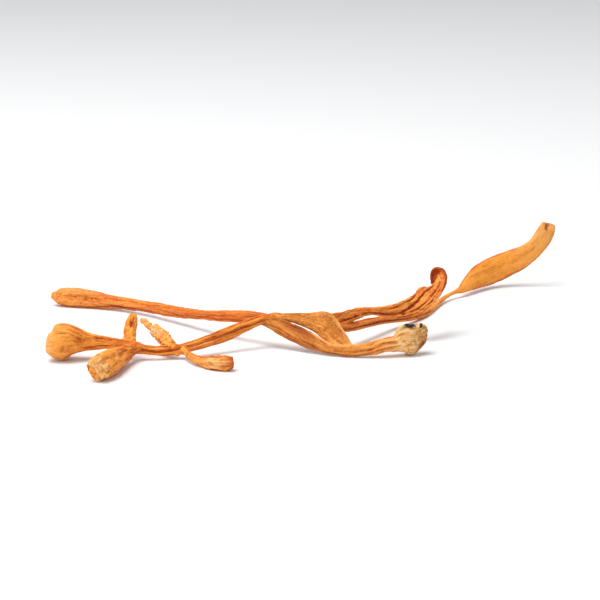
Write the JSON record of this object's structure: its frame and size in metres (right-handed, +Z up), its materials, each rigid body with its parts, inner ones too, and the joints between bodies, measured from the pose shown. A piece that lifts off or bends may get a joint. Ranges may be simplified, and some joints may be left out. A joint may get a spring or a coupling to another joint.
{
  "type": "dried cordyceps",
  "caption": "Dried forked cordyceps, lying loose: frayed cut foot, flattened web at the fork, grooved stalks with drumstick and club heads, curled branch and a long flat club.",
  "frame": {"origin": "centre of the footprint, on the flat surface that the piece lies on", "axes": "+X along the piece towards the long club, +Y towards its far side as it is seen, +Z up from the surface it lies on"},
  "size_m": [0.085, 0.065, 0.0106],
  "materials": {
    "foot": "dull straw-coloured dried base with grey-brown fibres",
    "web": "dull orange, wrinkled",
    "front_branch": "dull light orange, grooved lengthwise",
    "back_branch": "dull orange, grooved lengthwise",
    "curled_branch": "dull deep orange with red furrows",
    "long_club": "dull light orange with fine long striae"
  },
  "bodies": {
    "root": {"foot": "foot", "web": "web", "front_branch": "front_branch", "back_branch": "back_branch", "curled_branch": "curled_branch", "long_club": "long_club"}
  },
  "joints": []
}
